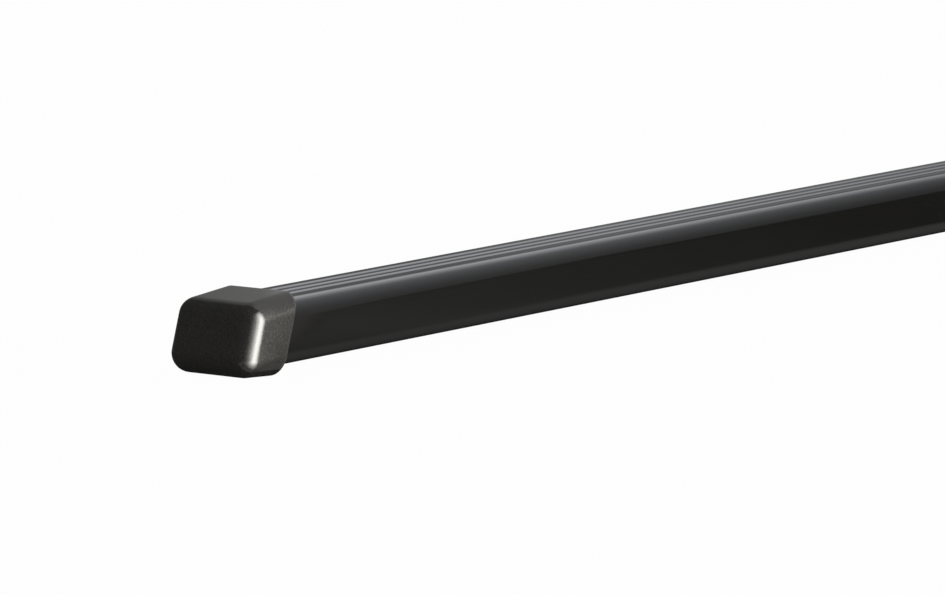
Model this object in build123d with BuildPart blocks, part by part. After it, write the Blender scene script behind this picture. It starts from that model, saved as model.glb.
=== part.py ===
from build123d import *
from build123d.topology import SkipClean
import math
import os

# Bar: a rectangular steel tube inside a tight plastic sheath, both cut square to one length
bar_length = 1180.0
bar_width = 32.0
bar_height = 22.0
bar_corner = 6.0
sheath_wall = 1.0
tube_wall = 2.0
smallest_corner = 0.5

# Grip grooves along the top of the sheath, round-bottomed
groove_count = 3
groove_pitch = 5.4
groove_width = 4.0
groove_depth = 0.5

# End cap outside: a box rounded all over but at its rim, whose rim and end face lean back
# by the same rake, with its top falling and its bottom rising towards the end
cap_rake = 19.0
cap_length = 21.0
cap_overlap = 6.5
cap_round = 6.5
rim_stand = 2.55
rim_bevel = 0.5
top_draft = 5.0
bottom_draft = 4.0

# Clear stretch of the bar's faces, which starts this far from the cap rims
seat_margin = 5.0

# End cap inside: a socket for the bar's end, a relieved space behind its ledge and a hollow plug with fins
socket_clearance = 0.3
ledge_width = 2.5
end_wall = 3.0
plug_reach = 22.0
plug_wall = 1.6
fin_count = 3
fin_height = 1.6
fin_thickness = 1.4
fin_clearance = 0.1
fin_taper = 20.0
fin_margin = 2.5
cut_margin = 2.0

# Bar sections, each from the one outside it
tube_width = bar_width - 2 * sheath_wall
tube_height = bar_height - 2 * sheath_wall
tube_corner = max(bar_corner - sheath_wall, smallest_corner)
bore_width = tube_width - 2 * tube_wall
bore_height = tube_height - 2 * tube_wall
bore_corner = max(tube_corner - tube_wall, smallest_corner)

# Groove arc: radius and centre height that give the stated width and depth at the top face
groove_radius = (groove_width**2 / 4 + groove_depth**2) / (2 * groove_depth)
groove_centre = bar_height / 2 - groove_depth + groove_radius

# Side outline of the left cap: its rim and end lines lean, its top and bottom lines taper
bar_end = -bar_length / 2
rim_centre = bar_end + cap_overlap
end_centre = rim_centre - cap_length
rake_slope = math.tan(math.radians(cap_rake))
top_slope = math.tan(math.radians(top_draft))
bottom_slope = math.tan(math.radians(bottom_draft))
cap_width = bar_width + 2 * rim_stand
rim_half = bar_height / 2 + rim_stand
rim_lean = rim_half * rake_slope
end_top = (rim_half - (cap_length + rim_lean) * top_slope) / (1 - rake_slope * top_slope)
end_bottom = (-rim_half + (cap_length - rim_lean) * bottom_slope) / (1 + rake_slope * bottom_slope)
cap_outline = [
    (rim_centre + rim_lean, rim_half),
    (end_centre + end_top * rake_slope, end_top),
    (end_centre + end_bottom * rake_slope, end_bottom),
    (rim_centre - rim_lean, -rim_half),
]

# Stretches of the sheath: its faces part just inside the cap rims, so the middle ones are clear of the caps
seat_end = rim_centre + rim_lean + seat_margin
sheath_marks = [bar_end, seat_end, -seat_end, -bar_end]

# Inner and middle planes of the leaning end wall
rake_normal = (1, 0, -rake_slope)
floor_plane = Plane(origin=(end_centre + end_wall, 0, 0), z_dir=rake_normal)
root_plane = Plane(origin=(end_centre + end_wall / 2, 0, 0), z_dir=rake_normal)

# Socket, relief and plug sections
socket_width = bar_width + 2 * socket_clearance
socket_height = bar_height + 2 * socket_clearance
socket_corner = bar_corner + socket_clearance
relief_width = bar_width - 2 * ledge_width
relief_height = bar_height - 2 * ledge_width
relief_corner = max(bar_corner - ledge_width, smallest_corner)
fin_width = bore_width - 2 * fin_clearance
fin_span = bore_height - 2 * fin_clearance
fin_corner = max(bore_corner - fin_clearance, smallest_corner)
core_width = bore_width - 2 * fin_height
core_height = bore_height - 2 * fin_height
core_corner = max(bore_corner - fin_height, smallest_corner)
hollow_width = core_width - 2 * plug_wall
hollow_height = core_height - 2 * plug_wall
hollow_corner = max(core_corner - plug_wall, smallest_corner)
plug_tip = bar_end + plug_reach
plug_root = end_centre - rim_lean
fin_pitch = (plug_reach - 2 * fin_margin - fin_thickness) / max(fin_count - 1, 1)

# Steel tube
with BuildPart() as steel_tube:
    with BuildSketch(Plane.YZ):
        RectangleRounded(tube_width, tube_height, tube_corner)
        RectangleRounded(bore_width, bore_height, bore_corner, mode=Mode.SUBTRACT)
    extrude(amount=bar_length / 2, both=True)

# Plastic sheath with its grip grooves
with BuildPart() as grooved_sheath:
    for start, stop in zip(sheath_marks, sheath_marks[1:]):
        with BuildSketch(Plane.YZ.offset(start)):
            RectangleRounded(bar_width, bar_height, bar_corner)
            RectangleRounded(tube_width, tube_height, tube_corner, mode=Mode.SUBTRACT)
            with Locations((0, groove_centre)):
                with GridLocations(groove_pitch, 0, groove_count, 1):
                    Circle(groove_radius, mode=Mode.SUBTRACT)
        with SkipClean():
            extrude(amount=stop - start)

# Space inside the cap: the socket that the bar's end seats in and the relief behind its ledge
with BuildPart() as cavity:
    with BuildSketch(Plane.YZ.offset(bar_end)):
        RectangleRounded(relief_width, relief_height, relief_corner)
    extrude(amount=plug_root - bar_end)
    split(bisect_by=floor_plane, keep=Keep.TOP)
    with BuildSketch(Plane.YZ.offset(bar_end)):
        RectangleRounded(socket_width, socket_height, socket_corner)
    extrude(amount=cap_overlap + rim_lean + cut_margin)

# Plug of the cap: a hollow core from the end wall into the bore, ringed by barbed fins
with BuildPart() as plug:
    with BuildSketch(Plane.YZ.offset(plug_tip)):
        RectangleRounded(core_width, core_height, core_corner)
    extrude(amount=plug_root - plug_tip)
    for fin in range(fin_count):
        with BuildSketch(Plane.YZ.offset(bar_end + fin_margin + fin * fin_pitch)):
            RectangleRounded(fin_width, fin_span, fin_corner)
        extrude(amount=fin_thickness, taper=fin_taper)
    with BuildSketch(Plane.YZ.offset(plug_tip)):
        RectangleRounded(hollow_width, hollow_height, hollow_corner)
    extrude(amount=plug_root - plug_tip, mode=Mode.SUBTRACT)
    split(bisect_by=root_plane, keep=Keep.TOP)

# Left end cap: the outside form, rounded along its length and round its end, then hollowed
with BuildPart() as left_end_cap:
    with BuildSketch(Plane.XZ):
        with BuildLine():
            Polyline(cap_outline, close=True)
        make_face()
    extrude(amount=cap_width / 2, both=True)
    fillet(left_end_cap.edges() - left_end_cap.faces().sort_by(Axis.X)[-1].edges(), cap_round)
    chamfer(left_end_cap.faces().sort_by(Axis.X)[-1].edges(), rim_bevel)
    add(cavity.part, mode=Mode.SUBTRACT)
    add(plug.part)

# Right end cap: the same moulding turned round
with BuildPart() as right_end_cap:
    add(left_end_cap.part, rotation=(0, 0, 180))

os.makedirs("parts", exist_ok=True)
steel_tube.part.label = "steel_tube"
export_step(steel_tube.part, "parts/steel_tube.step")
grooved_sheath.part.label = "grooved_sheath"
export_step(grooved_sheath.part, "parts/grooved_sheath.step")
left_end_cap.part.label = "left_end_cap"
export_step(left_end_cap.part, "parts/left_end_cap.step")
right_end_cap.part.label = "right_end_cap"
export_step(right_end_cap.part, "parts/right_end_cap.step")
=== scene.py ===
import math

import bmesh
import bpy
import numpy as np
from mathutils import Matrix, Vector


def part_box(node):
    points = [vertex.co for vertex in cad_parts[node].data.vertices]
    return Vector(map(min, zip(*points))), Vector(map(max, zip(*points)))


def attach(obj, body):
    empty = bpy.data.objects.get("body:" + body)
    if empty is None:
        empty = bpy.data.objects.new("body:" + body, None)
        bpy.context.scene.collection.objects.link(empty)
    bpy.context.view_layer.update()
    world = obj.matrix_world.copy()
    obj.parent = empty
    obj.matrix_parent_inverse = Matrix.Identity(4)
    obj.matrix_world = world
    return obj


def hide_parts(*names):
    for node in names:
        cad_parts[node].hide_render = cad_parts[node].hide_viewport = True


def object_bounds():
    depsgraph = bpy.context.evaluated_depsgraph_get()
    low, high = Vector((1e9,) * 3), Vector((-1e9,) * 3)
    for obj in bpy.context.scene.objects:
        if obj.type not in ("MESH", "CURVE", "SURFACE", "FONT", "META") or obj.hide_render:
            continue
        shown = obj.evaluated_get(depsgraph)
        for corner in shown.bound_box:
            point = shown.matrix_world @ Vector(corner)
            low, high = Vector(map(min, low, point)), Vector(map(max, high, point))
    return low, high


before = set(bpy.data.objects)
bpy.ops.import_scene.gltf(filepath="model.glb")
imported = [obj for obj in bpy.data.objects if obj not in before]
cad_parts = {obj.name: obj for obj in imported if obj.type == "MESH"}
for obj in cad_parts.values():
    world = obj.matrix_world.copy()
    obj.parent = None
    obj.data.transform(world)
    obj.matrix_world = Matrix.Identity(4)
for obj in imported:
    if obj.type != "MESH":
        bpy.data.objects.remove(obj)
cadBox = [list(corner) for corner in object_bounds()]
print("frame loaded:", sorted(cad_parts))

barLow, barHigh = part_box("grooved_sheath")
tubeLow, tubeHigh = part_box("steel_tube")
barLength = barHigh.x - barLow.x
barWidth = barHigh.y - barLow.y
barHeight = barHigh.z - barLow.z
sheathWall = barHigh.y - tubeHigh.y


# shader maths

class Wire:  # one socket of a node tree; sums on it add Math nodes
    def __init__(self, finish, socket):
        self.finish = finish
        self.socket = socket

    def maths(self, operation, first, second=0.0):
        return self.finish.add("ShaderNodeMath", {"operation": operation}, {0: first, 1: second})

    def __add__(self, other):
        return self.maths("ADD", self, other)

    def __radd__(self, other):
        return self.maths("ADD", other, self)

    def __sub__(self, other):
        return self.maths("SUBTRACT", self, other)

    def __rsub__(self, other):
        return self.maths("SUBTRACT", other, self)

    def __mul__(self, other):
        return self.maths("MULTIPLY", self, other)

    def __rmul__(self, other):
        return self.maths("MULTIPLY", other, self)


class Finish:  # a node tree being wired up
    def __init__(self, tree):
        self.tree = tree
        tree.nodes.clear()

    def add(self, kind, settings=None, sockets=None, output=0):
        node = self.tree.nodes.new(kind)
        for name, value in (settings or {}).items():
            if name == "stops":
                setStops(node.color_ramp, value)
            else:
                setattr(node, name, value)
        for name, value in (sockets or {}).items():
            if isinstance(value, Wire):
                self.tree.links.new(value.socket, node.inputs[name])
            else:
                node.inputs[name].default_value = value
        return Wire(self, node.outputs[output]) if len(node.outputs) else node


def setStops(ramp, stops):  # each stop is (place, colour)
    while len(ramp.elements) < len(stops):
        ramp.elements.new(1.0)
    for element, (place, colour) in zip(ramp.elements, stops):
        element.position = place
        element.color = (*colour, 1.0)


def newFinish(name):
    material = bpy.data.materials.new(name)
    material.use_nodes = True
    return material, Finish(material.node_tree)


def stretched(finish, scale):  # object coordinates, scaled for a pattern that runs with the piece
    place = finish.add("ShaderNodeTexCoord", output="Object")
    return finish.add("ShaderNodeMapping", {"vector_type": "POINT"}, {"Vector": place, "Scale": scale})


def inPlace(finish):  # object coordinates as they are
    return stretched(finish, (1.0, 1.0, 1.0))


def placeAlong(finish, axis):  # one object coordinate
    return finish.add("ShaderNodeSeparateXYZ", {}, {"Vector": inPlace(finish)}, output=axis)


def noise(finish, scale, detail, roughness=0.5):
    return finish.add("ShaderNodeTexNoise", {}, {
        "Vector": stretched(finish, scale), "Scale": 1.0, "Detail": detail, "Roughness": roughness})


def between(finish, factor, first, second):  # a colour; a Mix node's colour sockets go by number
    return finish.add("ShaderNodeMix", {"data_type": "RGBA"}, {
        "Factor": factor, 6: first, 7: second}, output=2)


def bumped(finish, form, height):
    return finish.add("ShaderNodeBump", {}, {
        "Strength": form["bumpStrength"], "Distance": form["bumpDistance"], "Height": height})


def clamped(finish, value):  # held from 0 to 1
    return finish.add("ShaderNodeClamp", {}, {"Value": value})


# surfaces

weldDistance = 1e-7
topTolerance = 1e-6


def unitArc(first, last, share):
    # turns evenly from one unit vector to another: sin((1-t)a)/sin a * first + sin(t a)/sin a * last
    angle = np.arccos(np.clip((first * last).sum(-1, keepdims=True), -1, 1))
    return (np.sin((1 - share) * angle) * first + np.sin(share * angle) * last) / np.sin(angle)


def roundedLoop(halfWidth, halfHeight, corner, cornerShares, flatShares):
    # a rounded rectangle in Y and Z, from the +Y side over the top: each flat runs between two corner
    # centres, moved out by the corner radius, and each corner turns from one flat's normal to the next
    normals = np.array([(1.0, 0.0), (0.0, 1.0), (-1.0, 0.0), (0.0, -1.0)])
    centres = np.array([(1.0, 1.0), (-1.0, 1.0), (-1.0, -1.0), (1.0, -1.0)])
    centres = centres * (halfWidth - corner, halfHeight - corner)
    pieces = []
    for side in range(4):
        shares = flatShares[side][:, None]
        flat = centres[side - 1] * (1 - shares) + centres[side] * shares
        pieces.append(flat + corner * normals[side])
        turn = unitArc(normals[side], normals[(side + 1) % 4], cornerShares[:, None])
        pieces.append(centres[side] + corner * turn)
    return np.concatenate(pieces)


def atStation(loop, x):  # a loop in Y and Z stood at x, which may differ from point to point
    return np.concatenate([np.broadcast_to(np.asarray(x, float), len(loop))[:, None], loop], axis=1)


def ringFaces(rings, around, closed):
    # quads between neighbouring rings, round and round; closed joins the last ring to the first
    ring = np.arange(rings if closed else rings - 1)[:, None]
    point = np.arange(around)[None, :]
    nextRing = (ring + 1) % rings
    nextPoint = (point + 1) % around
    corners = (ring * around + point, ring * around + nextPoint,
               nextRing * around + nextPoint, nextRing * around + point)
    return np.stack(np.broadcast_arrays(*corners), axis=-1).reshape(-1, 4)


def meshFromRings(name, rings, closed, sharpAngle):
    rings = np.asarray(rings)
    count, around = rings.shape[:2]
    faces = ringFaces(count, around, closed).tolist()
    if not closed:  # flat ends
        faces.append(list(range(around))[::-1])
        faces.append(list(range((count - 1) * around, count * around)))
    mesh = bpy.data.meshes.new(name)
    mesh.from_pydata(rings.reshape(-1, 3).tolist(), [], faces)
    work = bmesh.new()
    work.from_mesh(mesh)
    bmesh.ops.remove_doubles(work, verts=work.verts, dist=weldDistance)
    bmesh.ops.recalc_face_normals(work, faces=work.faces)
    work.to_mesh(mesh)
    work.free()
    mesh.shade_smooth()
    mesh.set_sharp_from_angle(angle=math.radians(sharpAngle))
    return mesh


def newPiece(name, mesh, material, body, node):
    mesh.materials.append(material)
    piece = bpy.data.objects.new(name, mesh)
    bpy.context.scene.collection.objects.link(piece)
    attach(piece, body)
    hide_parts(node)
    print("made", name, len(mesh.polygons), "faces")


def easedShares(count, margin):  # evenly spread, with one more point close to each end to hold the flat
    inner = np.linspace(margin, 1 - margin, count)
    return np.concatenate([[0.0], inner, [1.0]])


# sheath: a thin black plastic skin drawn along the tube, with three grip grooves along its top

sheathForm = {
    "corner": 0.006,
    "grooveCount": 3,
    "groovePitch": 0.0054,
    "grooveWidth": 0.0040,
    "grooveDepth": 0.0005,
    "lipSoftness": 0.20,
    "endRound": 0.0003,
    "endHold": 0.002,
    "cornerSteps": 24,
    "topSteps": 241,
    "sideSteps": 4,
    "endBends": 5,
    "edgeMargin": 0.03,
    "sharpAngle": 50.0,
    "streakScale": (2.0, 900.0, 900.0),
    "hazeScale": (14.0, 60.0, 60.0),
    "peelScale": (500.0, 900.0, 900.0),
    "darkColour": (0.0074, 0.0074, 0.0071, 1.0),
    "paleColour": (0.0098, 0.0098, 0.0094, 1.0),
    "roughness": 0.07,
    "hazeRoughness": 0.05,
    "streakRoughness": 0.02,
    "streakRelief": 0.6,
    "peelRelief": 0.4,
    "bumpStrength": 0.10,
    "bumpDistance": 0.0001,
    "specular": 0.5,
}


def grooveDepths(y, form):
    # depth times a softened max(0, 1 - t^2), where t is the distance from the groove's line in half widths
    lines = (np.arange(form["grooveCount"]) - (form["grooveCount"] - 1) / 2) * form["groovePitch"]
    t = np.abs(y[:, None] - lines[None, :]) / (form["grooveWidth"] / 2)
    dip = 1 - t**2
    soft = (dip + np.sqrt(dip**2 + form["lipSoftness"]**2)) / 2
    tail = form["lipSoftness"]**2 / (4 * np.maximum(-dip, 1.0))  # what the softening leaves on the flats
    return form["grooveDepth"] * (soft - tail).clip(0).max(1)


def sheathRings(form):
    corners = np.linspace(0, 1, form["cornerSteps"] + 1)[1:-1]
    side = easedShares(form["sideSteps"], form["edgeMargin"])
    top = np.linspace(0, 1, form["topSteps"])
    flats = [side, top, side, side]
    halfWidth, halfHeight = barWidth / 2, barHeight / 2
    outer = roundedLoop(halfWidth, halfHeight, form["corner"], corners, flats)
    inner = roundedLoop(halfWidth - sheathWall, halfHeight - sheathWall, form["corner"] - sheathWall,
                        corners, flats)
    onTop = outer[:, 1] > halfHeight - topTolerance
    outer[onTop, 1] -= grooveDepths(outer[onTop, 0], form)
    towardsInside = (inner - outer) / np.linalg.norm(inner - outer, axis=1, keepdims=True)
    bend = np.linspace(0, math.pi / 2, form["endBends"])
    halfLength = barLength / 2
    rightEnd = [atStation(outer, halfLength - form["endHold"])]  # holds the long faces' shading straight
    rightEnd += [atStation(outer + towardsInside * form["endRound"] * (1 - math.cos(a)),
                           halfLength - form["endRound"] * (1 - math.sin(a))) for a in bend]
    rightEnd += [atStation(inner, halfLength), atStation(inner, halfLength - form["endHold"])]
    leftEnd = [ring * (-1, 1, 1) for ring in rightEnd]
    return rightEnd + leftEnd[::-1]


def sheathFinish(form):
    material, finish = newFinish("sheathBlackPlastic")
    streaks = noise(finish, form["streakScale"], detail=3.0, roughness=0.6)
    haze = noise(finish, form["hazeScale"], detail=4.0, roughness=0.55)
    peel = noise(finish, form["peelScale"], detail=2.0)
    roughness = form["roughness"] + form["hazeRoughness"] * haze + form["streakRoughness"] * streaks
    colour = between(finish, haze, form["darkColour"], form["paleColour"])
    relief = streaks * form["streakRelief"] + peel * form["peelRelief"]
    shader = finish.add("ShaderNodeBsdfPrincipled", {}, {
        "Base Color": colour, "Roughness": roughness, "Normal": bumped(finish, form, relief),
        "Specular IOR Level": form["specular"]})
    finish.add("ShaderNodeOutputMaterial", {}, {"Surface": shader})
    return material


sheathMaterial = sheathFinish(sheathForm)
sheathMesh = meshFromRings("groovedSheath", sheathRings(sheathForm), True, sheathForm["sharpAngle"])
newPiece("groovedSheath", sheathMesh, sheathMaterial, "bar", "grooved_sheath")


# tube: zinc-coated steel, seen at the ends when a cap is off

tubeForm = {
    "wall": 0.002,
    "corner": 0.005,
    "endRound": 0.0002,
    "endHold": 0.002,
    "cornerSteps": 16,
    "sideSteps": 4,
    "endBends": 4,
    "edgeMargin": 0.03,
    "sharpAngle": 50.0,
    "spangleScale": (120.0, 120.0, 120.0),
    "drawnScale": (6.0, 1500.0, 1500.0),
    "darkColour": (0.50, 0.51, 0.53, 1.0),
    "paleColour": (0.60, 0.61, 0.63, 1.0),
    "roughness": 0.30,
    "spangleRoughness": 0.15,
    "drawnRoughness": 0.08,
    "bumpStrength": 0.15,
    "bumpDistance": 0.0001,
}


def tubeRings(form):
    corners = np.linspace(0, 1, form["cornerSteps"] + 1)[1:-1]
    flats = [easedShares(form["sideSteps"], form["edgeMargin"])] * 4
    halfWidth = (tubeHigh.y - tubeLow.y) / 2
    halfHeight = (tubeHigh.z - tubeLow.z) / 2
    outer = roundedLoop(halfWidth, halfHeight, form["corner"], corners, flats)
    inner = roundedLoop(halfWidth - form["wall"], halfHeight - form["wall"], form["corner"] - form["wall"],
                        corners, flats)
    towardsInside = (inner - outer) / np.linalg.norm(inner - outer, axis=1, keepdims=True)
    bend = np.linspace(0, math.pi / 2, form["endBends"])
    halfLength = (tubeHigh.x - tubeLow.x) / 2
    rightEnd = [atStation(outer, halfLength - form["endHold"])]
    rightEnd += [atStation(outer + towardsInside * form["endRound"] * (1 - math.cos(a)),
                           halfLength - form["endRound"] * (1 - math.sin(a))) for a in bend]
    rightEnd += [atStation(inner - towardsInside * form["endRound"] * (1 - math.sin(a)),
                           halfLength - form["endRound"] * (1 - math.cos(a))) for a in bend]
    rightEnd += [atStation(inner, halfLength - form["endHold"])]
    leftEnd = [ring * (-1, 1, 1) for ring in rightEnd]
    return rightEnd + leftEnd[::-1]


def tubeFinish(form):
    material, finish = newFinish("tubeZincSteel")
    spangle = finish.add("ShaderNodeTexVoronoi", {}, {
        "Vector": stretched(finish, form["spangleScale"]), "Scale": 1.0})
    drawn = noise(finish, form["drawnScale"], detail=3.0)
    roughness = form["roughness"] + form["spangleRoughness"] * spangle + form["drawnRoughness"] * drawn
    colour = between(finish, spangle, form["darkColour"], form["paleColour"])
    shader = finish.add("ShaderNodeBsdfPrincipled", {}, {
        "Base Color": colour, "Roughness": roughness, "Normal": bumped(finish, form, drawn), "Metallic": 1.0})
    finish.add("ShaderNodeOutputMaterial", {}, {"Surface": shader})
    return material


tubeMaterial = tubeFinish(tubeForm)
tubeMesh = meshFromRings("steelTube", tubeRings(tubeForm), True, tubeForm["sharpAngle"])
newPiece("steelTube", tubeMesh, tubeMaterial, "bar", "steel_tube")


# end caps: one raked moulding for both ends, rounded all over but at its rim, with a finned hollow plug

capForm = {
    "rake": 19.0,
    "length": 0.021,
    "overlap": 0.0065,
    "round": 0.0065,
    "rimStand": 0.00255,
    "rimRound": 0.0005,
    "topDraft": 5.0,
    "bottomDraft": 4.0,
    "socketClearance": 0.0003,
    "ledgeWidth": 0.0025,
    "endWall": 0.003,
    "plugReach": 0.022,
    "plugWall": 0.0016,
    "finCount": 3,
    "finHeight": 0.0016,
    "finThickness": 0.0014,
    "finClearance": 0.0001,
    "finTaper": 20.0,
    "finMargin": 0.0025,
    "smallestCorner": 0.0005,
    "cornerSteps": 18,
    "flatSteps": 5,
    "edgeMargin": 0.04,
    "endSteps": 18,
    "rimSteps": 5,
    "bodyShares": (0.35, 0.65),
    "sharpAngle": 35.0,
    "grainScale": (1700.0, 1700.0, 1700.0),
    "mottleScale": (160.0, 160.0, 160.0),
    "speckleGrain": 2.4,
    "speckleMottle": 0.3,
    "speckleCut": 0.85,
    "darkColour": (0.0202, 0.0197, 0.0177, 1.0),
    "paleColour": (0.0322, 0.0315, 0.0285, 1.0),
    # painted highlight along the rim's edge: its colour, and how many rim roundings in from the edge it
    # reaches
    "paintedRimHighlightColour": (0.090, 0.088, 0.082, 1.0),
    "paintedRimHighlightReach": 2.2,
    "roughness": 0.065,
    "mottleRoughness": 0.05,
    "grainRoughness": 0.16,
    "bumpStrength": 0.21,
    "bumpDistance": 0.0001,
    "specular": 0.8,
}


def meetLines(normalA, pointA, normalB, pointB):  # where two lines in X and Z cross
    return np.linalg.solve(np.array([normalA, normalB]), np.array([normalA @ pointA, normalB @ pointB]))


def capRings(form):
    rake, topDraft, bottomDraft = (math.radians(form[key]) for key in ("rake", "topDraft", "bottomDraft"))
    radius = form["round"]
    barEnd = -barLength / 2
    rimX = barEnd + form["overlap"]
    endX = rimX - form["length"]
    slope = math.tan(rake)
    halfWidth = barWidth / 2 + form["rimStand"]
    rimHalf = barHeight / 2 + form["rimStand"]
    corners = np.linspace(0, 1, form["cornerSteps"] + 1)[1:-1]
    flat = easedShares(form["flatSteps"], form["edgeMargin"])
    flats = [flat] * 4

    # the outside is a ball of the rounding radius carried round a skeleton frame inside the end face
    endNormal = np.array([-math.cos(rake), 0.0, math.sin(rake)])
    topNormal = np.array([-math.sin(topDraft), 0.0, math.cos(topDraft)])
    bottomNormal = np.array([-math.sin(bottomDraft), 0.0, -math.cos(bottomDraft)])
    sideView = [0, 2]  # X and Z
    endPoint = np.array([endX, 0.0]) - radius * endNormal[sideView]
    topPoint = np.array([rimX + rimHalf * slope, rimHalf]) - radius * topNormal[sideView]
    bottomPoint = np.array([rimX - rimHalf * slope, -rimHalf]) - radius * bottomNormal[sideView]
    high = meetLines(endNormal[sideView], endPoint, topNormal[sideView], topPoint)
    low = meetLines(endNormal[sideView], endPoint, bottomNormal[sideView], bottomPoint)
    reach = halfWidth - radius
    centres = np.array([(high[0], reach, high[1]), (high[0], -reach, high[1]),
                        (low[0], -reach, low[1]), (low[0], reach, low[1])])
    normals = np.array([(0.0, 1.0, 0.0), topNormal, (0.0, -1.0, 0.0), bottomNormal])
    along = np.array([(math.cos(topDraft), 0.0, math.sin(topDraft)),
                      (math.cos(topDraft), 0.0, math.sin(topDraft)),
                      (math.cos(bottomDraft), 0.0, -math.sin(bottomDraft)),
                      (math.cos(bottomDraft), 0.0, -math.sin(bottomDraft))])
    spine, outward, course = [], [], []
    for side in range(4):
        shares = flat[:, None]
        spine.append(centres[side - 1] * (1 - shares) + centres[side] * shares)
        course.append(along[side - 1] * (1 - shares) + along[side] * shares)
        outward.append(np.broadcast_to(normals[side], (len(flat), 3)))
        spine.append(np.broadcast_to(centres[side], (len(corners), 3)))
        course.append(np.broadcast_to(along[side], (len(corners), 3)))
        outward.append(unitArc(normals[side], normals[(side + 1) % 4], corners[:, None]))
    spine, outward, course = (np.concatenate(rows) for rows in (spine, outward, course))

    # end face, its rounding, and the body up to the rim plane
    faceRing = spine + radius * endNormal
    faceMiddle = (faceRing.min(0) + faceRing.max(0)) / 2
    rings = [faceMiddle + (faceRing - faceMiddle) * (1 - form["edgeMargin"])]
    for share in np.linspace(0, 1, form["endSteps"] + 1):
        rings.append(spine + radius * unitArc(np.broadcast_to(endNormal, outward.shape), outward, share))
    bodyStart = rings[-1]
    rimNormal = -endNormal
    rimPoint = np.array([rimX, 0.0, 0.0])
    toRim = ((rimPoint - bodyStart) @ rimNormal / (course @ rimNormal))[:, None]
    rimRing = bodyStart + course * toRim
    inRim = -(outward - (outward @ rimNormal)[:, None] * rimNormal)
    inRim = inRim / np.linalg.norm(inRim, axis=1, keepdims=True)
    bodyEnd = rimRing - course * form["rimRound"]
    for share in (form["edgeMargin"], *form["bodyShares"], 1 - form["edgeMargin"]):
        rings.append(bodyStart * (1 - share) + bodyEnd * share)
    for angle in np.linspace(0, math.pi / 2, form["rimSteps"]):
        rings.append(rimRing - course * form["rimRound"] * (1 - math.sin(angle))
                     + inRim * form["rimRound"] * (1 - math.cos(angle)))

    # inside: socket, ledge, relief and floor, then the plug with its fins and its hollow
    def section(width, height, corner):
        return roundedLoop(width / 2, height / 2, max(corner, form["smallestCorner"]), corners, flats)

    barCorner = sheathForm["corner"]
    boreWidth = tubeHigh.y - tubeLow.y - 2 * tubeForm["wall"]
    boreHeight = tubeHigh.z - tubeLow.z - 2 * tubeForm["wall"]
    boreCorner = tubeForm["corner"] - tubeForm["wall"]
    gap, ledge = form["socketClearance"], form["ledgeWidth"]
    socket = section(barWidth + 2 * gap, barHeight + 2 * gap, barCorner + gap)
    relief = section(barWidth - 2 * ledge, barHeight - 2 * ledge, barCorner - ledge)
    coreIn = form["finHeight"]
    core = section(boreWidth - 2 * coreIn, boreHeight - 2 * coreIn, boreCorner - coreIn)
    hollowIn = coreIn + form["plugWall"]
    hollow = section(boreWidth - 2 * hollowIn, boreHeight - 2 * hollowIn, boreCorner - hollowIn)
    slim = form["finClearance"]
    fin = section(boreWidth - 2 * slim, boreHeight - 2 * slim, boreCorner - slim)
    thin = slim + form["finThickness"] * math.tan(math.radians(form["finTaper"]))
    finTip = section(boreWidth - 2 * thin, boreHeight - 2 * thin, boreCorner - thin)
    floorX = endX + form["endWall"]
    plugTip = barEnd + form["plugReach"]
    finRun = form["plugReach"] - 2 * form["finMargin"] - form["finThickness"]
    rings += [atStation(socket, rimX + socket[:, 1] * slope), atStation(socket, barEnd),
              atStation(relief, barEnd), atStation(relief, floorX + relief[:, 1] * slope),
              atStation(core, floorX + core[:, 1] * slope)]
    for place in np.linspace(0, finRun, form["finCount"]):
        finX = barEnd + form["finMargin"] + place
        finStop = finX + form["finThickness"]
        rings += [atStation(core, finX), atStation(fin, finX),
                  atStation(finTip, finStop), atStation(core, finStop)]
    rings += [atStation(core, plugTip), atStation(hollow, plugTip),
              atStation(hollow, floorX + hollow[:, 1] * slope)]
    return np.array(rings)


def capFinish(form):
    material, finish = newFinish("capGrainedPlastic")
    grain = noise(finish, form["grainScale"], detail=2.0, roughness=0.55)
    mottle = noise(finish, form["mottleScale"], detail=4.0)
    speckle = form["speckleGrain"] * grain + form["speckleMottle"] * mottle - form["speckleCut"]
    plain = between(finish, clamped(finish, speckle), form["darkColour"], form["paleColour"])
    # the rim's edge is painted paler, a painted highlight where its small rounding catches the light: how far
    # a point stands inside the leaning rim plane, from |x| and z
    across, height = placeAlong(finish, "X"), placeAlong(finish, "Z")
    rimX = barLength / 2 - form["overlap"]
    inside = across.maths("ABSOLUTE", across) + height * math.tan(math.radians(form["rake"])) - rimX
    paintedRimHighlight = clamped(finish, form["paintedRimHighlightReach"] - inside * (1 / form["rimRound"]))
    colour = between(finish, paintedRimHighlight * grain, plain, form["paintedRimHighlightColour"])
    roughness = form["roughness"] + form["mottleRoughness"] * mottle + form["grainRoughness"] * grain
    shader = finish.add("ShaderNodeBsdfPrincipled", {}, {
        "Base Color": colour, "Roughness": roughness, "Normal": bumped(finish, form, grain),
        "Specular IOR Level": form["specular"]})
    finish.add("ShaderNodeOutputMaterial", {}, {"Surface": shader})
    return material


capMaterial = capFinish(capForm)
leftRings = capRings(capForm)
for capName, node, body, turn in (("leftEndCap", "left_end_cap", "left_cap", (1, 1, 1)),
                                  ("rightEndCap", "right_end_cap", "right_cap", (-1, -1, 1))):
    capMesh = meshFromRings(capName, leftRings * turn, False, capForm["sharpAngle"])
    newPiece(capName, capMesh, capMaterial, body, node)


# stage: a wide pale floor that the caps stand on, a white surround, cards and a lamp

stageForm = {
    "floorHalf": 60.0,
    "floorWhite": 0.45,
    "cameraWhiteShare": 0.98,
    "glossyWhiteShare": 0.05,
    "surroundFill": 0.68,
}


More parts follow.
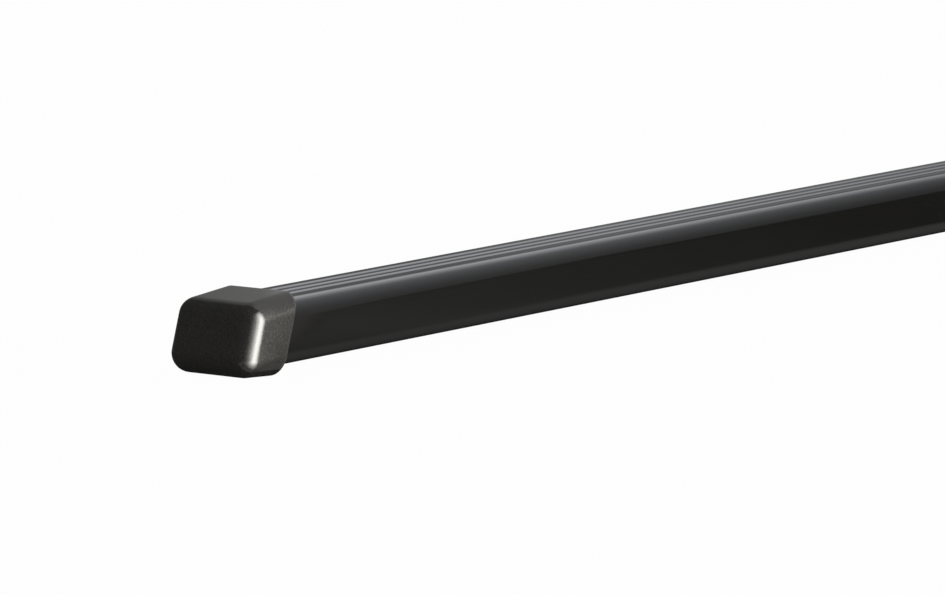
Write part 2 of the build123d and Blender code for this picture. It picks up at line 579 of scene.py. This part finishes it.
def whiteRays(finish):  # 1 for rays that show the background itself: seen straight, mirrored or through glass
    seen = finish.add("ShaderNodeLightPath", output="Is Camera Ray")
    mirrored = finish.add("ShaderNodeLightPath", output="Is Glossy Ray")
    through = finish.add("ShaderNodeLightPath", output="Is Transmission Ray")
    return seen, mirrored + through


def floorFinish(form):
    material, finish = newFinish("paleFloor")
    seen, mirrored = whiteRays(finish)
    white = form["floorWhite"]
    lit = finish.add("ShaderNodeBsdfDiffuse", {}, {"Color": (white, white, white, 1.0)})
    glow = finish.add("ShaderNodeEmission", {}, {"Color": (1.0, 1.0, 1.0, 1.0), "Strength": 1.0})
    share = seen * form["cameraWhiteShare"] + mirrored * form["glossyWhiteShare"]
    surface = finish.add("ShaderNodeMixShader", {}, {"Fac": share, 1: lit, 2: glow})
    finish.add("ShaderNodeOutputMaterial", {}, {"Surface": surface})
    return material


def stageMesh(name, points, faces, material):
    mesh = bpy.data.meshes.new(name)
    mesh.from_pydata(points, [], faces)
    mesh.materials.append(material)
    holder = bpy.data.objects.new(name, mesh)
    bpy.context.scene.collection.objects.link(holder)
    return holder


def makeFloor(form):
    half, height = form["floorHalf"], cadBox[0][2]
    corners = [(-half, -half, height), (half, -half, height), (half, half, height), (-half, half, height)]
    stageMesh("floor", corners, [(0, 1, 2, 3)], floorFinish(form))


def makeSurround(form):
    world = bpy.data.worlds.new("surround")
    bpy.context.scene.world = world
    world.use_nodes = True
    finish = Finish(world.node_tree)
    seen, mirrored = whiteRays(finish)
    fill = form["surroundFill"]
    strength = fill + (1 - fill) * (seen + mirrored)
    light = finish.add("ShaderNodeBackground", {}, {"Color": (1.0, 1.0, 1.0, 1.0), "Strength": strength})
    finish.add("ShaderNodeOutputWorld", {}, {"Surface": light})


# cards that only gloss shows: arches over the bar, sweeps round the left cap, strips on the ground, a flag
# over the left cap's rim and a low card at the back; shades run evenly between their stops, each of which is
# (share of the way, grey)
plainTint = (1.0, 1.0, 1.0)
warmTint = (1.03, 1.0, 0.955)
groundLift = 0.0005
sweepLift = 0.00075
curveSteps = 60
archForms = {
    "brightArch": {"radius": 1.8, "startX": 0.55, "stopX": 3.6, "stopTurn": 180.0, "tint": (0.98, 1.0, 1.055),
                   "evenX": 1.3, "fall": 0.48,
                   "shades": [(0.00, 0.12), (0.08, 0.19), (0.14, 0.25), (0.18, 0.50), (0.22, 0.95),
                              (0.26, 1.85), (0.30, 1.95), (0.36, 1.85), (0.42, 1.66), (0.50, 1.12),
                              (0.60, 0.94), (0.735, 0.74), (0.857, 0.49), (0.957, 0.39), (1.00, 0.33)]},
    "darkArch": {"radius": 1.8, "startX": -2.6, "stopX": 0.55, "stopTurn": 180.0, "tint": plainTint,
                 "evenX": 0.0, "fall": 0.0, "shades": [(0.0, 0.03), (1.0, 0.03)]},
}
sweepForms = {
    "darkSweep": {"middle": (-0.600, 0.0), "nearRadius": 0.03, "fullRadius": 0.04, "radius": 0.9,
                  "startTurn": 95.0, "stopTurn": 225.0, "fullHeight": 0.80, "height": 0.9,
                  "tint": plainTint, "shades": [(0.0, 0.02), (1.0, 0.02)]},
    "keySweep": {"middle": (-0.605, -0.012), "nearRadius": 0.008, "fullRadius": 0.024, "radius": 0.9,
                 "startTurn": 225.0, "stopTurn": 315.0, "fullHeight": 0.225, "height": 1.125,
                 "tint": warmTint,
                 "shades": [(0.00, 0.02), (0.09, 0.25), (0.225, 1.0), (0.35, 2.7), (0.50, 7.5), (0.61, 13.5),
                            (0.70, 15.0), (0.81, 12.0), (0.895, 8.0), (0.955, 2.2), (1.00, 0.42)]},
    "sideSweep": {"middle": (-0.605, -0.012), "nearRadius": 0.007, "fullRadius": 0.014, "radius": 0.9,
                  "startTurn": 315.0, "stopTurn": 327.0, "fullHeight": 0.01, "height": 0.05,
                  "tint": warmTint, "shades": [(0.0, 0.42), (0.75, 0.37), (1.0, 0.05)]},
}
groundForms = {
    "leftGround": {"x": (-1.60, -0.585), "y": (-0.0175, 0.25), "along": "X",
                   "shades": [(0.0, 0.02), (1.0, 0.02)]},
    "frontGround": {"x": (-0.61, 3.60), "y": (-2.00, -0.028), "along": "X",
                    "shades": [(0.0, 0.14), (0.017, 0.20), (0.0285, 0.25), (0.0405, 0.17), (0.058, 0.116),
                               (0.078, 0.076), (0.0975, 0.03), (0.15, 0.032), (0.24, 0.06), (1.0, 0.07)]},
    # underGround's greys are a painted shadow: the floor under the bar, as gloss sees it, darkening inwards
    # from its front edge
    "underGround": {"x": (-0.585, 0.59), "y": (-0.028, 0.018), "along": "Y",
                    "shades": [(0.0, 0.18), (0.17, 0.30), (0.24, 0.25), (0.29, 0.17), (0.34, 0.07),
                               (0.38, 0.03), (0.45, 0.02), (1.0, 0.02)]},
    "backGround": {"x": (-0.585, 3.00), "y": (0.018, 1.80), "along": "X",
                   "shades": [(0.0, 0.06), (1.0, 0.06)]},
}
flagForm = {"x": -0.578, "y": (-0.036, 0.06), "z": (0.0112, 0.09),
            "shades": [(0.0, 0.78), (0.06, 0.72), (0.25, 0.47), (0.375, 0.29), (0.625, 0.25), (1.0, 0.09)]}
backForm = {"x": (0.55, 3.60), "y": 1.70, "z": (0.0, 0.60),
            "shades": [(0.0, 0.19), (0.269, 0.17), (0.3115, 0.235), (0.338, 0.25), (1.0, 0.25)]}


def cardFinish(name, shades, tint, share, strength):
    # share and strength are given the finish; share says how far along its shades a point is
    material, finish = newFinish(name)
    stops = [(place, [grey * part for part in tint]) for place, grey in shades]
    shade = finish.add("ShaderNodeValToRGB", {"stops": stops}, {"Fac": share(finish)})
    scaled = finish.add("ShaderNodeVectorMath", {"operation": "SCALE"}, {0: shade, "Scale": strength(finish)})
    glow = finish.add("ShaderNodeEmission", {}, {"Color": scaled, "Strength": 1.0})
    finish.add("ShaderNodeOutputMaterial", {}, {"Surface": glow})
    return material


def stageCard(name, points, faces, material):
    card = stageMesh(name, points, faces, material)
    card.visible_camera = False
    card.visible_diffuse = False
    card.visible_transmission = False
    card.visible_shadow = False


def stripFaces(rows, steps):  # quads between neighbouring rows of points
    first = (np.arange(rows - 1)[:, None] * steps + np.arange(steps - 1)[None, :]).reshape(-1)
    return np.stack([first, first + 1, first + 1 + steps, first + steps], axis=1).tolist()


def makeArch(name, form):
    def turnShare(finish):
        height = placeAlong(finish, "Z")
        return height.maths("ARCTAN2", height, placeAlong(finish, "Y")) * (1 / math.pi)

    def falling(finish):  # along the bar
        return 1 - (placeAlong(finish, "X") - form["evenX"]) * form["fall"]

    # part of a pipe round the bar's axis: y = radius cos t, z = radius sin t
    turn = np.radians(np.linspace(0, form["stopTurn"], curveSteps))
    arc = form["radius"] * np.stack([np.zeros_like(turn), np.cos(turn), np.sin(turn)], axis=1)
    points = np.concatenate([arc + (form["startX"], 0, 0), arc + (form["stopX"], 0, 0)])
    material = cardFinish(name, form["shades"], form["tint"], turnShare, falling)
    stageCard(name, points.tolist(), stripFaces(2, curveSteps), material)


def makeSweep(name, form):
    start, stop = math.radians(form["startTurn"]), math.radians(form["stopTurn"])
    middle = np.array([*form["middle"], cadBox[0][2] + sweepLift])

    def turnShare(finish):
        deep = placeAlong(finish, "Y") - middle[1]
        turn = deep.maths("ARCTAN2", deep, placeAlong(finish, "X") - middle[0])
        return (turn.maths("FLOORED_MODULO", turn, 2 * math.pi) - start) * (1 / (stop - start))

    def fading(finish):  # out towards the top and in towards the middle
        away = finish.add("ShaderNodeVectorMath", {"operation": "DISTANCE"}, {
            0: inPlace(finish), 1: middle.tolist()}, output="Value")
        near, full = form["nearRadius"], form["fullRadius"]
        low, top = form["fullHeight"], form["height"]
        out = clamped(finish, (away - near) * (1 / (full - near)))
        up = clamped(finish, (top - placeAlong(finish, "Z")) * (1 / (top - low)))
        return out * up

    # a floor that runs out from the left cap and up a standing curve: x = radius cos t, y = radius sin t
    turn = np.linspace(start, stop, curveSteps)
    rim = np.stack([np.cos(turn), np.sin(turn), np.zeros_like(turn)], axis=1)
    foot = middle + form["radius"] * rim
    points = np.concatenate([middle + form["nearRadius"] * rim, foot, foot + (0, 0, form["height"])])
    material = cardFinish(name, form["shades"], form["tint"], turnShare, fading)
    stageCard(name, points.tolist(), stripFaces(3, curveSteps), material)


def makeCard(name, corners, along, shades):
    places = [corner["XYZ".index(along)] for corner in corners]
    low, high = min(places), max(places)

    def lengthShare(finish):
        return (placeAlong(finish, along) - low) * (1 / (high - low))

    def even(finish):
        return 1.0

    stageCard(name, corners, [(0, 1, 2, 3)], cardFinish(name, shades, plainTint, lengthShare, even))


def makeGround(name, form):
    (left, right), (front, back), height = form["x"], form["y"], cadBox[0][2] + groundLift
    corners = [(left, front, height), (right, front, height), (right, back, height), (left, back, height)]
    makeCard(name, corners, form["along"], form["shades"])


def makeFlag(form):  # stands over the left cap's rim, and its shades are what the cap's top mirrors
    x, (front, back), (foot, top) = form["x"], form["y"], form["z"]
    corners = [(x, front, foot), (x, back, foot), (x, back, top), (x, front, top)]
    makeCard("capFlag", corners, "Y", form["shades"])


def makeBack(form):  # stands low, just inside the bright arch's foot, and the flat top's far part mirrors it
    (left, right), y, (foot, top) = form["x"], form["y"], form["z"]
    corners = [(left, y, foot), (right, y, foot), (right, y, top), (left, y, top)]
    makeCard("backCard", corners, "X", form["shades"])


lampForm = {
    "place": (-0.24, -1.21, 0.17),
    "aim": (-0.60, 0.0, 0.0),
    "size": (0.60, 0.34),
    "power": 9.0,
    "colour": (1.0, 0.97, 0.92),
}


def makeLamp(form):
    lamp = bpy.data.lights.new("keyStrip", "AREA")
    lamp.shape = "RECTANGLE"
    lamp.size, lamp.size_y = form["size"]
    lamp.energy = form["power"]
    lamp.color = form["colour"]
    place = Vector(form["place"])
    turn = (place - Vector(form["aim"])).to_track_quat("Z", "Y").to_matrix().to_4x4()
    holder = bpy.data.objects.new("keyStrip", lamp)
    holder.matrix_world = Matrix.Translation(place) @ turn
    holder.visible_camera = False
    holder.visible_glossy = False  # gloss shows the key sweep instead
    bpy.context.scene.collection.objects.link(holder)


makeFloor(stageForm)
makeSurround(stageForm)
for archName, archForm in archForms.items():
    makeArch(archName, archForm)
for sweepName, sweepForm in sweepForms.items():
    makeSweep(sweepName, sweepForm)
for groundName, groundForm in groundForms.items():
    makeGround(groundName, groundForm)
makeFlag(flagForm)
makeBack(backForm)
makeLamp(lampForm)
print("stage set")


# camera: a long lens, low down, looking at the left cap from its front corner

cameraForm = {
    "target": (-0.53334, -0.05366, 0.00834),
    "azimuth": -47.8955,
    "elevation": 8.4075,
    "roll": -1.8394,
    "distance": 2.14045,
    "lens": 246.94,
    "sensor": 36.0,
    "clipEnd": 200.0,
}


def makeCamera(form):
    camera = bpy.data.cameras.new("camera")
    camera.lens = form["lens"]
    camera.sensor_width = form["sensor"]
    camera.clip_end = form["clipEnd"]
    azimuth, elevation = math.radians(form["azimuth"]), math.radians(form["elevation"])
    back = Vector((math.sin(azimuth) * math.cos(elevation), -math.cos(azimuth) * math.cos(elevation),
                   math.sin(elevation)))
    turn = back.to_track_quat("Z", "Y").to_matrix().to_4x4()
    roll = Matrix.Rotation(math.radians(form["roll"]), 4, "Z")
    holder = bpy.data.objects.new("camera", camera)
    holder.matrix_world = Matrix.Translation(Vector(form["target"]) + back * form["distance"]) @ turn @ roll
    bpy.context.scene.collection.objects.link(holder)
    bpy.context.scene.camera = holder


makeCamera(cameraForm)
bpy.context.scene.view_settings.view_transform = "Standard"
print("camera set")
